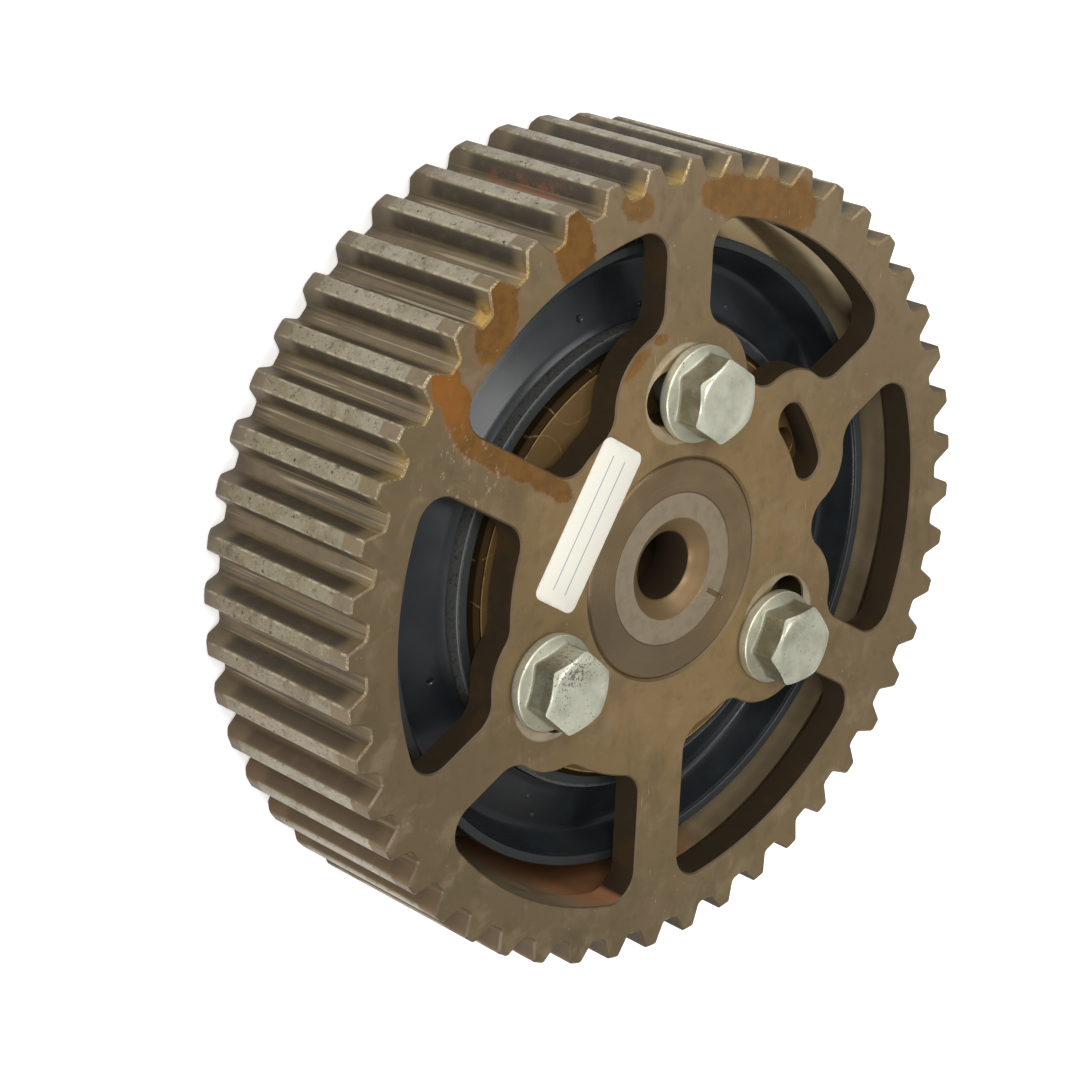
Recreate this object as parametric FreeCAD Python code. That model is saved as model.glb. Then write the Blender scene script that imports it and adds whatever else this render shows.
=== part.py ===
import FreeCAD, Part
import os
from math import atan2, cos, degrees, hypot, pi, radians, sin, sqrt, tan

# Camshaft sprocket for a toothed belt. Its web is clamped by three flange bolts in curved slots to a
# hub that carries a rubber torsion damper inside the drum. Millimetres. The axis of rotation is Z:
# z = 0 is the rear end of the rim, +Z leaves the front face, +Y crosses the first adjusting slot.

# Toothed rim
tooth_count = 48
belt_pitch = 9.525
belt_line_height = 0.716      # belt pitch line above the tooth tips
tooth_depth = 3.9
valley_width = 2.75           # between the flank lines, at the valley floor
flank_angle = 28.0            # flank to valley centre line
valley_fillet = 0.9
tip_round = 0.7
rim_width = 38.6
front_tip_chamfer = 0.5
rear_tip_chamfer = 1.4
rim_wall = 5.75               # from the valley floor to the drum wall
drum_corner_chamfer = 1.5
drum_mouth_chamfer = 0.8

# Web with its six windows
web_thickness = 6.0
spoke_count = 6
first_spoke_angle = 30.0
spoke_width = 10.7
window_shelf = 1.0            # from the drum wall to the windows' outer arc
window_corner = 5.0
lock_window_floor = 35.0      # inner radius of a window beside the locking slot
slot_window_floor = 32.0      # of one beside an adjusting slot only
far_window_floor = 37.4       # of one on the far side of the hub
window_floors = (lock_window_floor, slot_window_floor, far_window_floor,
                 far_window_floor, slot_window_floor, lock_window_floor)
opening_radius = 19.8         # central opening, which locates the hub
opening_chamfer = 0.45

# Adjusting slots and their flange bolts
slot_angles = (90.0, 210.0, 330.0)
bolt_circle_radius = 31.5
slot_half_angle = 6.75        # from the slot's middle to an end centre
slot_play = 0.7               # each side of the bolt's shank
boss_margin = 3.55            # web left round the bolt's flange
bolt_offset_angle = -4.8      # bolts as clamped, from the slot middles
shank_radius = 4.0
shank_chamfer = 0.9
bolt_tip_stand_out = 2.0      # behind the hub's flange
bolt_flange_radius = 8.45
bolt_flange_edge = 2.0
bolt_flange_slope = 22.0
hex_across_flats = 13.0
hex_chamfer_angle = 28.0
head_height = 8.05
bolt_names = ("bolt_upper", "bolt_left", "bolt_right")
hex_turns = (26.0, 18.0, 6.0)     # one corner of each hex, from +X

# Locking slot and its pin hole
lock_angle = 30.0
lock_slot_half_angle = 8.3
lock_pin_radius = 3.0
lock_pin_play = 0.05
lock_boss_wall = 6.3
lock_hole_edge = 1.7          # hub flange left outside the pin hole

# Hub
flange_edge_margin = 8.3      # from the bolt circle to the flange's rim
flange_thickness = 12.0
flange_chamfer = 0.8
nose_recess = 0.1             # nose face below the web's front
clamp_seat_radius = 13.7
clamp_seat_depth = 0.15
mouth_radius = 9.15
mouth_depth = 2.3
bore_radius = 6.1
bore_land = 8.0               # straight bore between the mouth and the taper
taper_rear_radius = 14.0
taper_half_angle = 5.0
taper_mouth_chamfer = 0.8
rear_boss_radius = 22.0
rear_boss_recess = 5.0        # boss end inside the rim's rear end
rear_boss_chamfer = 1.0
keyway_width = 4.0
keyway_depth = 1.8
keyway_angle = 90.0
notch_angle = -32.5
notch_width = 0.8
notch_depth = 0.5
notch_start_radius = 10.8
notch_end_radius = 15.0

# Torsion damper
sleeve_wall = 2.35
sleeve_front_depth = 8.1      # below the rim's front face
drum_clearance = 5.7          # from the damper ring to the drum wall
ring_lip_wall = 1.75
ring_front_depth = 7.8
ring_width = 16.2
ring_body_depth = 8.8         # from the lip's edge down to the ring's heavy part
rubber_bond_width = 4.2       # rubber between the sleeve and the ring
rubber_inner_drop = 2.9       # rubber surface below the sleeve's edge
rubber_outer_drop = 5.6
rubber_crease = 3.0           # from the ring's lip to the rubber's lowest circle
rubber_lip_drop = 0.5

# Label on the web's face
label_length = 29.4
label_width = 10.3
label_thickness = 0.15
label_corner = 1.6
label_centre_radius = 24.1
label_angle = 149.2

# Fits and gaps
nose_clearance = 0.05         # radial, hub nose in the web
face_gap = 0.05               # between clamped faces
thread_clearance = 0.05
fit_gap = 0.05                # radial, between the damper's bonded rings

# Sizes worked out from those above
front = rim_width
web_back = front - web_thickness
tip_radius = tooth_count * belt_pitch / (2 * pi) - belt_line_height
root_radius = tip_radius - tooth_depth
drum_radius = root_radius - rim_wall
window_outer_radius = drum_radius - window_shelf
slot_half_width = shank_radius + slot_play
slot_boss_radius = bolt_flange_radius + boss_margin
flange_radius = bolt_circle_radius + flange_edge_margin
flange_front = web_back - face_gap
flange_back = flange_front - flange_thickness
nose_radius = opening_radius - nose_clearance
nose_front = front - nose_recess
lock_slot_half_width = lock_pin_radius + lock_pin_play
lock_circle_radius = flange_radius - lock_hole_edge - lock_slot_half_width
bolt_seat = front + face_gap

AXIS = FreeCAD.Vector(0, 0, 1)


def polar(radius, angle, z=0.0):
    return FreeCAD.Vector(radius * cos(radians(angle)), radius * sin(radians(angle)), z)


def line(start, end):
    return Part.LineSegment(start, end).toShape()


def arc(start, middle, end):
    return Part.Arc(start, middle, end).toShape()


def lift(wire, low, high):
    """Prism over a flat outline, from height low to height high."""
    face = Part.Face(wire)
    face.translate(AXIS * (low - wire.BoundBox.ZMin))
    return face.extrude(AXIS * (high - low))


def turned(profile):
    """Solid of revolution about Z from (radius, z) corners."""
    corners = [FreeCAD.Vector(radius, 0, z) for radius, z in profile]
    outline = Part.makePolygon(corners + corners[:1])
    return Part.Face(outline).revolve(FreeCAD.Vector(0, 0, 0), AXIS, 360)


def disc(radius, low, high):
    return Part.makeCylinder(radius, high - low, FreeCAD.Vector(0, 0, low))


def arc_slot(radius, angle, half_angle, half_width):
    """Outline of a slot that follows a circle round the axis."""
    start, end = angle - half_angle, angle + half_angle
    outer, inner = radius + half_width, radius - half_width
    start_tip = polar(radius, start) - polar(half_width, start + 90)
    end_tip = polar(radius, end) + polar(half_width, end + 90)
    return Part.Wire([
        arc(polar(outer, start), polar(outer, angle), polar(outer, end)),
        arc(polar(outer, end), end_tip, polar(inner, end)),
        arc(polar(inner, end), polar(inner, angle), polar(inner, start)),
        arc(polar(inner, start), start_tip, polar(outer, start)),
    ])


def valley_side():
    """Points of one half valley as (outward, sideways) lengths, from its floor to its tip land."""
    slope = radians(flank_angle)
    along = (cos(slope), sin(slope))
    into_metal = (-sin(slope), cos(slope))
    flank = (root_radius, valley_width / 2)

    centre_out = root_radius + valley_fillet
    centre_side = flank[1] + valley_fillet * (sin(slope) - 1) / cos(slope)
    bend = radians(45 + flank_angle / 2)
    fillet_start = (root_radius, centre_side)
    fillet_middle = (centre_out - valley_fillet * sin(bend), centre_side + valley_fillet * cos(bend))
    fillet_end = (centre_out + valley_fillet * into_metal[0],
                  centre_side + valley_fillet * into_metal[1])

    reach = tip_radius - tip_round
    base = (flank[0] + tip_round * into_metal[0], flank[1] + tip_round * into_metal[1])
    shadow = base[0] * along[0] + base[1] * along[1]
    travel = sqrt(shadow ** 2 - base[0] ** 2 - base[1] ** 2 + reach ** 2) - shadow
    centre = (base[0] + travel * along[0], base[1] + travel * along[1])
    outward = (centre[0] / reach, centre[1] / reach)
    middle = (outward[0] - into_metal[0], outward[1] - into_metal[1])
    share = tip_round / hypot(*middle)
    round_start = (centre[0] - tip_round * into_metal[0], centre[1] - tip_round * into_metal[1])
    round_middle = (centre[0] + share * middle[0], centre[1] + share * middle[1])
    round_end = (centre[0] + tip_round * outward[0], centre[1] + tip_round * outward[1])
    return fillet_start, fillet_middle, fillet_end, round_start, round_middle, round_end


def tooth_outline():
    """Closed outline of all teeth: floor, fillets, flanks, tip rounds and tip lands."""
    side = valley_side()
    step = 360 / tooth_count
    edges = []

    def place(point, mirror, angle):
        out, across = point[0], mirror * point[1]
        return polar(hypot(out, across), angle + degrees(atan2(across, out)))

    for index in range(tooth_count):
        angle = (index + 0.5) * step
        low = [place(point, -1, angle) for point in side]
        high = [place(point, 1, angle) for point in side]
        edges += [
            arc(low[5], low[4], low[3]),
            line(low[3], low[2]),
            arc(low[2], low[1], low[0]),
            line(low[0], high[0]),
            arc(high[0], high[1], high[2]),
            line(high[2], high[3]),
            arc(high[3], high[4], high[5]),
            arc(high[5], polar(tip_radius, angle + step / 2), place(side[5], -1, angle + step)),
        ]
    return Part.Wire(edges)


def toothed_blank():
    """Toothed prism with turned chamfers on its tips."""
    prism = lift(tooth_outline(), 0, front)
    beyond = 1.0
    lathe = turned([
        (0, 0), (tip_radius - rear_tip_chamfer, 0), (tip_radius + beyond, rear_tip_chamfer + beyond),
        (tip_radius + beyond, front - front_tip_chamfer - beyond),
        (tip_radius - front_tip_chamfer, front), (0, front)
    ])
    return prism.common(lathe)


def drum_cavity():
    """Space inside the drum, open at the rear."""
    beyond = 1.0
    return turned([
        (0, -beyond), (drum_radius + drum_mouth_chamfer + beyond, -beyond),
        (drum_radius, drum_mouth_chamfer), (drum_radius, web_back - drum_corner_chamfer),
        (drum_radius - drum_corner_chamfer, web_back), (0, web_back)
    ])


def window(angle, floor):
    """Cutter for one window: a sector between two spokes, clear of the slots' bosses."""
    half = 180 / spoke_count
    sector = disc(window_outer_radius, 0, 1).cut(disc(floor, 0, 1))
    reach = 2 * window_outer_radius
    sides = []
    for turn in (-half, half):
        strip = Part.makeBox(reach, spoke_width, 1, FreeCAD.Vector(0, -spoke_width / 2, 0))
        strip.rotate(FreeCAD.Vector(0, 0, 0), AXIS, angle + turn)
        sides.append(strip)
    wedge = Part.Face(Part.makePolygon([
        polar(0, 0), polar(reach, angle - half), polar(reach, angle + half), polar(0, 0)
    ])).extrude(AXIS)
    bosses = [lift(arc_slot(bolt_circle_radius, slot, slot_half_angle, slot_boss_radius), 0, 1)
              for slot in slot_angles]
    lock_boss_radius = lock_slot_half_width + lock_boss_wall
    bosses.append(lift(arc_slot(lock_circle_radius, lock_angle, lock_slot_half_angle,
                                lock_boss_radius), 0, 1))
    area = sector.common(wedge).cut(sides + bosses)
    face = max((face for face in area.Faces if abs(face.CenterOfMass.z) < 1e-6),
               key=lambda face: face.Area)
    shrunk = face.OuterWire.makeOffset2D(-window_corner, 2)
    outline = shrunk.makeOffset2D(window_corner, 0)
    return lift(outline, web_back - 1, front + 1)


def web_cutters():
    """Everything that passes through the web."""
    cutters = []
    for index in range(spoke_count):
        floor = window_floors[index % len(window_floors)]
        cutters.append(window(first_spoke_angle + (index + 0.5) * 360 / spoke_count, floor))
    past = 1.0
    low, high = web_back - past, front + past
    for slot in slot_angles:
        outline = arc_slot(bolt_circle_radius, slot, slot_half_angle, slot_half_width)
        cutters.append(lift(outline, low, high))
    outline = arc_slot(lock_circle_radius, lock_angle, lock_slot_half_angle, lock_slot_half_width)
    cutters.append(lift(outline, low, high))
    cutters.append(turned([
        (0, low), (opening_radius, low), (opening_radius, front - opening_chamfer),
        (opening_radius + opening_chamfer + past, high), (0, high)
    ]))
    return cutters


def toothed_sprocket():
    return toothed_blank().cut([drum_cavity()] + web_cutters())


def hub():
    """Flanged hub with a located nose, a tapered rear bore, tapped holes and a pin hole."""
    boss_back = rear_boss_recess
    taper_front = nose_front - clamp_seat_depth - mouth_depth - bore_land
    taper_front_radius = taper_rear_radius - (taper_front - boss_back) * tan(radians(taper_half_angle))
    seat = nose_front - clamp_seat_depth
    body = turned([
        (bore_radius, taper_front), (taper_front_radius, taper_front),
        (taper_rear_radius, boss_back + taper_mouth_chamfer),
        (taper_rear_radius + taper_mouth_chamfer, boss_back),
        (rear_boss_radius - rear_boss_chamfer, boss_back),
        (rear_boss_radius, boss_back + rear_boss_chamfer),
        (rear_boss_radius, flange_back), (flange_radius - flange_chamfer, flange_back),
        (flange_radius, flange_back + flange_chamfer),
        (flange_radius, flange_front - flange_chamfer),
        (flange_radius - flange_chamfer, flange_front), (nose_radius, flange_front),
        (nose_radius, nose_front - opening_chamfer),
        (nose_radius - opening_chamfer, nose_front), (clamp_seat_radius, nose_front),
        (clamp_seat_radius, seat), (mouth_radius, seat), (bore_radius, seat - mouth_depth),
    ])
    cutters = []
    for slot in slot_angles:
        place = polar(bolt_circle_radius, slot + bolt_offset_angle, flange_back - 1)
        cutters.append(Part.makeCylinder(shank_radius + thread_clearance, flange_thickness + 2, place))
    place = polar(lock_circle_radius, lock_angle + bolt_offset_angle, flange_back - 1)
    cutters.append(Part.makeCylinder(lock_slot_half_width, flange_thickness + 2, place))
    key = Part.makeBox(taper_rear_radius + keyway_depth, keyway_width, taper_front - boss_back + 1,
                       FreeCAD.Vector(0, -keyway_width / 2, boss_back - 1))
    key.rotate(FreeCAD.Vector(0, 0, 0), AXIS, keyway_angle)
    cutters.append(key)
    notch = Part.makeBox(notch_end_radius - notch_start_radius, notch_width, notch_depth + 1,
                         FreeCAD.Vector(notch_start_radius, -notch_width / 2, nose_front - notch_depth))
    notch.rotate(FreeCAD.Vector(0, 0, 0), AXIS, notch_angle)
    cutters.append(notch)
    return body.cut(cutters)


def flange_bolt(angle, hex_turn):
    """Hexagon bolt with a conical flange, its shank through the slot into the hub."""
    tip = flange_back - bolt_tip_stand_out
    cone_height = (bolt_flange_radius - hex_across_flats / 2) * tan(radians(bolt_flange_slope))
    foot = turned([
        (0, bolt_seat), (bolt_flange_radius, bolt_seat),
        (bolt_flange_radius, bolt_seat + bolt_flange_edge),
        (hex_across_flats / 2, bolt_seat + bolt_flange_edge + cone_height),
        (0, bolt_seat + bolt_flange_edge + cone_height),
    ])
    corner_radius = hex_across_flats / sqrt(3)
    corners = [polar(corner_radius, hex_turn + 60 * index) for index in range(7)]
    prism = lift(Part.makePolygon(corners), bolt_seat, bolt_seat + head_height)
    top = bolt_seat + head_height
    flat_radius = hex_across_flats / 2 * 0.94
    drop = (corner_radius + 1 - flat_radius) * tan(radians(hex_chamfer_angle))
    crown = turned([(0, bolt_seat), (corner_radius + 1, bolt_seat),
                    (corner_radius + 1, top - drop), (flat_radius, top), (0, top)])
    shank = turned([(0, tip), (shank_radius - shank_chamfer, tip),
                    (shank_radius, tip + shank_chamfer), (shank_radius, bolt_seat), (0, bolt_seat)])
    bolt = foot.fuse([prism.common(crown), shank]).removeSplitter()
    bolt.translate(polar(bolt_circle_radius, angle))
    return bolt


def damper():
    """Steel sleeve, bonded rubber and heavy outer ring, each turned about the axis."""
    sleeve_inner = flange_radius + fit_gap
    sleeve_outer = sleeve_inner + sleeve_wall
    sleeve_front = front - sleeve_front_depth
    sleeve = turned([(sleeve_inner, flange_back), (sleeve_outer, flange_back),
                     (sleeve_outer, sleeve_front), (sleeve_inner, sleeve_front)])

    ring_outer = drum_radius - drum_clearance
    lip_inner = ring_outer - ring_lip_wall
    ring_front = front - ring_front_depth
    ring_back = ring_front - ring_width
    body_front = ring_front - ring_body_depth
    ring_inner = sleeve_outer + rubber_bond_width
    ring = turned([(ring_inner, ring_back), (ring_outer, ring_back), (ring_outer, ring_front),
                   (lip_inner, ring_front), (lip_inner, body_front), (ring_inner, body_front)])

    rubber = turned([
        (sleeve_outer + fit_gap, flange_back), (ring_inner - fit_gap, flange_back),
        (ring_inner - fit_gap, body_front + fit_gap), (lip_inner - fit_gap, body_front + fit_gap),
        (lip_inner - fit_gap, ring_front - rubber_lip_drop),
        (lip_inner - rubber_crease, sleeve_front - rubber_outer_drop),
        (sleeve_outer + fit_gap, sleeve_front - rubber_inner_drop),
    ])
    return sleeve, rubber, ring


def label():
    """Thin sticker with rounded corners, lying across the web and the nose's edge."""
    sheet = Part.makeBox(label_width, label_length, label_thickness,
                         FreeCAD.Vector(-label_width / 2, -label_length / 2, 0))
    upright = [edge for edge in sheet.Edges if edge.BoundBox.ZLength > label_thickness / 2]
    sheet = sheet.makeFillet(label_corner, upright)
    sheet.rotate(FreeCAD.Vector(0, 0, 0), AXIS, label_angle)
    sheet.translate(polar(label_centre_radius, label_angle, front))
    return sheet


sleeve, rubber, ring = damper()
nodes = {
    "toothed_sprocket": toothed_sprocket(),
    "hub": hub(),
    "damper_sleeve": sleeve,
    "damper_rubber": rubber,
    "damper_ring": ring,
    "label": label(),
}
for name, slot, hex_turn in zip(bolt_names, slot_angles, hex_turns):
    nodes[name] = flange_bolt(slot + bolt_offset_angle, hex_turn)

os.makedirs("parts", exist_ok=True)
for name, shape in nodes.items():
    shape.exportStep("parts/" + name + ".step")
    print(name, "valid", shape.isValid(), "solids", len(shape.Solids), "faces", len(shape.Faces),
          "volume", round(shape.Volume))
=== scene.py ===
from math import atan2, cos, hypot, pi, radians, sin, sqrt, tan

import bmesh
import bpy
from mathutils import Matrix, Vector
from mathutils.geometry import delaunay_2d_cdt


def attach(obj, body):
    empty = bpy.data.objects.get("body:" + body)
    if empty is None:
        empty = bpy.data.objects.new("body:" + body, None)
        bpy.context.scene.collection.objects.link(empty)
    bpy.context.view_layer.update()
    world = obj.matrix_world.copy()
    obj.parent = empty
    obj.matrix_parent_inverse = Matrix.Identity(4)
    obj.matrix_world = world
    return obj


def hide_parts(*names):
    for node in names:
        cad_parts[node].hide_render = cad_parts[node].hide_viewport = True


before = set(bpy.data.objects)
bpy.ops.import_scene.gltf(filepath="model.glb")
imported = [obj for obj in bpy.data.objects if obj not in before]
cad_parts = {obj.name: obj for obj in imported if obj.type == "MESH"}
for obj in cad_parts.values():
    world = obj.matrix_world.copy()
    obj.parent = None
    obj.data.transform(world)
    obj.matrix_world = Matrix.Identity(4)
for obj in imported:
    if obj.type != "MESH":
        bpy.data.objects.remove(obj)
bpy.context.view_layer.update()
print("frame loaded:", len(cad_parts), "solids")

mm = 0.001  # every shape below is worked out in millimetres and made in metres


# Shapes

def polar(radius, angle):
    return (radius * cos(radians(angle)), radius * sin(radians(angle)))


def outwards(loop):
    # unit normals of a closed loop that runs anticlockwise, pointing away from its inside
    normals = []
    for i, (x, y) in enumerate(loop):
        ax, ay = loop[i - 1]
        bx, by = loop[(i + 1) % len(loop)]
        first, second = (y - ay, ax - x), (by - y, x - bx)
        one, two = hypot(*first), hypot(*second)
        nx, ny = first[0] / one + second[0] / two, first[1] / one + second[1] / two
        size = hypot(nx, ny)
        lean = (nx * first[0] + ny * first[1]) / (size * one)
        normals.append((nx / size / lean, ny / size / lean))
    return normals


def moved(loop, amount):
    # the loop pushed outwards by amount, or inwards where it is negative
    return [(x + amount * nx, y + amount * ny) for (x, y), (nx, ny) in zip(loop, outwards(loop))]


def turnedLeft(loop):
    area = sum(ax * by - bx * ay for (ax, ay), (bx, by) in zip(loop, loop[1:] + loop[:1]))
    return loop if area > 0 else loop[::-1]


def circle(radius, count, centre=(0, 0)):
    return [(centre[0] + radius * cos(2 * pi * i / count), centre[1] + radius * sin(2 * pi * i / count))
            for i in range(count)]


def curvedSlot(radius, middle, halfAngle, halfWidth, steps=14):
    start, end = middle - halfAngle, middle + halfAngle
    loop = [polar(radius + halfWidth, start + (end - start) * i / steps) for i in range(steps)]
    for at, first in ((end, end), (start, start + 180)):
        cx, cy = polar(radius, at)
        for i in range(steps):
            dx, dy = polar(halfWidth, first + 180 * i / steps)
            loop.append((cx + dx, cy + dy))
        if at == end:
            loop += [polar(radius - halfWidth, end + (start - end) * i / steps) for i in range(steps)]
    return loop


def level(loop, height):
    return [(x, y, height) for x, y in loop]


def added(name, data):
    # an object of that name with the data, in the scene
    made = bpy.data.objects.new(name, data)
    bpy.context.scene.collection.objects.link(made)
    return made


class Shell:
    # a mesh under way: rows of points joined by quads, each face with the number of the surface it belongs to
    def __init__(self, name, numbers):
        self.name, self.numbers = name, numbers
        self.mesh = bmesh.new()
        self.kind = self.mesh.faces.layers.float.new("kind")

    def points(self, places):
        return [self.mesh.verts.new((x * mm, y * mm, z * mm)) for x, y, z in places]

    def face(self, corners, kind):
        if len({c.index if c.index >= 0 else id(c) for c in corners}) < 3:
            return
        made = self.mesh.faces.new(corners)
        made[self.kind] = self.numbers[kind]
        made.smooth = True

    def strip(self, upper, lower, kind):
        for i in range(len(upper)):
            j = (i + 1) % len(upper)
            self.face((upper[i], lower[i], lower[j], upper[j]), kind)

    def rows(self, rows, kinds):
        made = [self.points(row) for row in rows]
        for upper, lower, kind in zip(made, made[1:], kinds):
            self.strip(upper, lower, kind)
        return made

    def sheet(self, outer, holes, loose, height, kind, faceUp=True):
        # a flat or gently formed area inside outer, less the holes; loose points shape it
        loops = [outer] + holes
        flat, edges = [], []
        for loop in loops:
            first = len(flat)
            flat += loop
            edges += [(first + i, first + (i + 1) % len(loop)) for i in range(len(loop))]
        flat += loose
        found, _, faces, *_ = delaunay_2d_cdt([Vector(p) for p in flat], edges, [], 1, 1e-6)
        kept = []
        for corners in faces:
            middle = sum((found[i] for i in corners), Vector((0, 0))) / len(corners)
            if not any(inLoop(middle, hole) for hole in holes):
                kept.append(corners)
        used = {i: (found[i].x, found[i].y) for i in sorted({i for corners in kept for i in corners})}
        made = dict(zip(used, self.points([(x, y, height(x, y)) for x, y in used.values()])))
        for corners in kept:
            a, b, c = (found[i] for i in corners[:3])
            up = (b - a).cross(c - a) > 0
            order = corners if up == faceUp else corners[::-1]
            self.face([made[i] for i in order], kind)

    def finished(self, body, node=None, weld=0.002, angle=32):
        bmesh.ops.remove_doubles(self.mesh, verts=self.mesh.verts, dist=weld * mm)
        bmesh.ops.dissolve_degenerate(self.mesh, edges=self.mesh.edges, dist=weld * mm / 4)
        bmesh.ops.recalc_face_normals(self.mesh, faces=self.mesh.faces)
        data = bpy.data.meshes.new(self.name)
        self.mesh.to_mesh(data)
        self.mesh.free()
        data.set_sharp_from_angle(angle=radians(angle))
        made = added(self.name, data)
        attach(made, body)
        if node:
            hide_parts(node)
        print(self.name, "faces", len(data.polygons))
        return made


# Sprocket

sprocket = {
    "teeth": 48, "pitch": 9.525, "beltLine": 0.716, "toothDepth": 3.9, "valleyWidth": 2.75,
    "flankAngle": 28.0, "valleyFillet": 0.9, "tipRound": 0.7, "front": 38.6, "web": 6.0,
    "toothEdge": 0.34, "rearTip": 1.4, "rearEdge": 0.25, "rimWall": 5.75, "mouth": 0.8, "corner": 1.5,
    "windowEdge": 0.28, "openingRadius": 19.8, "openingEdge": 0.45, "slotRadius": 31.5,
    "slotAngles": (90, 210, 330), "slotHalfAngle": 6.75, "slotHalfWidth": 4.7, "slotEdge": 0.22,
    "lockAngle": 30, "lockRadius": 35.05, "lockHalfAngle": 8.3, "lockHalfWidth": 3.05, "lockEdge": 0.35,
    # rows down a tooth's flank as shares of its height, and rows on the drum's wall and in its hollow corner
    "flankRows": (0.82, 0.55, 0.28), "drumRow": 16, "cornerRows": (60.9, 61.3, 61.75, 62.05, 62.25),
    "boreCount": 192, "drumCount": 240, "clearOfWindows": 0.15, "leastStep": 0.004,
}
front = sprocket["front"]
webBack = front - sprocket["web"]
tipRadius = sprocket["teeth"] * sprocket["pitch"] / (2 * pi) - sprocket["beltLine"]
rootRadius = tipRadius - sprocket["toothDepth"]
drumRadius = rootRadius - sprocket["rimWall"]
surface = {"front": 0, "toothEdge": 1, "tooth": 2, "rearTip": 3, "rear": 4, "windowEdge": 5,
           "wall": 6, "webBack": 7, "drum": 8, "opening": 9}


def arcPoints(centre, radius, first, last, steps):
    return [(centre[0] + radius * cos(first + (last - first) * i / steps),
             centre[1] + radius * sin(first + (last - first) * i / steps)) for i in range(steps + 1)]


def halfValley():
    # (outward, sideways) points of half a valley, from its floor to the start of the tip land
    slope = radians(sprocket["flankAngle"])
    fillet, tip = sprocket["valleyFillet"], sprocket["tipRound"]
    half = sprocket["valleyWidth"] / 2
    centre = (rootRadius + fillet, half + fillet * (sin(slope) - 1) / cos(slope))
    bottom = arcPoints(centre, fillet, pi, pi / 2 + slope, 5)
    reach = tipRadius - tip
    base = (rootRadius - tip * sin(slope), half + tip * cos(slope))
    shadow = base[0] * cos(slope) + base[1] * sin(slope)
    travel = sqrt(shadow ** 2 - base[0] ** 2 - base[1] ** 2 + reach ** 2) - shadow
    top = (base[0] + travel * cos(slope), base[1] + travel * sin(slope))
    last = atan2(top[1], top[0])
    crown = arcPoints(top, tip, slope - pi / 2, last, 5)
    flank = []
    for share in (0.25, 0.5, 0.75):
        flank.append((bottom[-1][0] + (crown[0][0] - bottom[-1][0]) * share,
                      bottom[-1][1] + (crown[0][1] - bottom[-1][1]) * share))
    cut = tipRadius - sprocket["rearTip"]  # the rear chamfer starts at this radius
    for a, b in zip(list(flank), flank[1:] + [crown[0]]):
        ra, rb = hypot(*a), hypot(*b)
        if ra < cut < rb:
            share = (cut - ra) / (rb - ra)
            flank.append((a[0] + (b[0] - a[0]) * share, a[1] + (b[1] - a[1]) * share))
    flank.sort()
    return bottom + flank + crown


def toothLoop():
    side = halfValley()
    step = 2 * pi / sprocket["teeth"]
    loop = []
    for tooth in range(sprocket["teeth"]):
        turn = (tooth + 0.5) * step
        both = [(x, -y) for x, y in side[::-1]] + side
        for x, y in both:
            loop.append((x * cos(turn) - y * sin(turn), x * sin(turn) + y * cos(turn)))
        startLand, endLand = atan2(side[-1][1], side[-1][0]), step - atan2(side[-1][1], side[-1][0])
        for i in range(1, 4):
            at = turn + startLand + (endLand - startLand) * i / 4
            loop.append((tipRadius * cos(at), tipRadius * sin(at)))
    return loop


def windowLoops():
    # the six windows as the frame's sprocket has them on its front face, with their tight corners made finer
    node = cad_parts["toothed_sprocket"]
    flat = bmesh.new()
    flat.from_mesh(node.data)
    bmesh.ops.remove_doubles(flat, verts=flat.verts, dist=0.002 * mm)
    away = [f for f in flat.faces if f.normal.z < 0.999 or abs(f.calc_center_median().z - front * mm) > 0.01 * mm]
    bmesh.ops.delete(flat, geom=away, context="FACES")
    # a dictionary keeps its order, so that each run starts every loop at the same edge
    rest = dict.fromkeys(e for e in flat.edges if len(e.link_faces) == 1)
    loops = []
    while rest:
        edge = next(iter(rest))
        del rest[edge]
        start, at = edge.verts
        loop = [start, at]
        while at != start:
            step = next(e for e in at.link_edges if e in rest)
            del rest[step]
            at = step.other_vert(at)
            loop.append(at)
        loop = [(v.co.x / mm, v.co.y / mm) for v in loop[:-1]]
        radii = [hypot(x, y) for x, y in loop]
        if 60 < max(radii) < 63:
            loops.append(rounder(turnedLeft(loop)))
    flat.free()
    return sorted(loops, key=lambda loop: atan2(sum(y for x, y in loop), sum(x for x, y in loop)))


def rounder(loop, short=2.4, keep=0.05, straight=0.05):
    # puts a point on each short step of a tight arc
    loop = [p for i, p in enumerate(loop) if hypot(p[0] - loop[i - 1][0], p[1] - loop[i - 1][1]) > keep]
    count = len(loop)
    bend = []
    for i in range(count):
        (ax, ay), (x, y), (bx, by) = loop[i - 1], loop[i], loop[(i + 1) % count]
        a, b = atan2(y - ay, x - ax), atan2(by - y, bx - x)
        bend.append((b - a + pi) % (2 * pi) - pi)
    fine = []
    for i in range(count):
        (x, y), (bx, by) = loop[i], loop[(i + 1) % count]
        fine.append((x, y))
        length = hypot(bx - x, by - y)
        turn = max(bend[i], bend[(i + 1) % count], key=abs)
        if length < short and abs(turn) > straight:
            drop = length / 2 * tan(turn / 4)
            fine.append(((x + bx) / 2 + (by - y) / length * drop, (y + by) / 2 - (bx - x) / length * drop))
    return fine


def inLoop(point, loop):
    x, y = point
    if not (min(p[0] for p in loop) < x < max(p[0] for p in loop)):
        return False
    inside = False
    for (ax, ay), (bx, by) in zip(loop, loop[1:] + loop[:1]):
        if (ay > y) != (by > y) and x < (bx - ax) * (y - ay) / (by - ay) + ax:
            inside = not inside
    return inside


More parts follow.
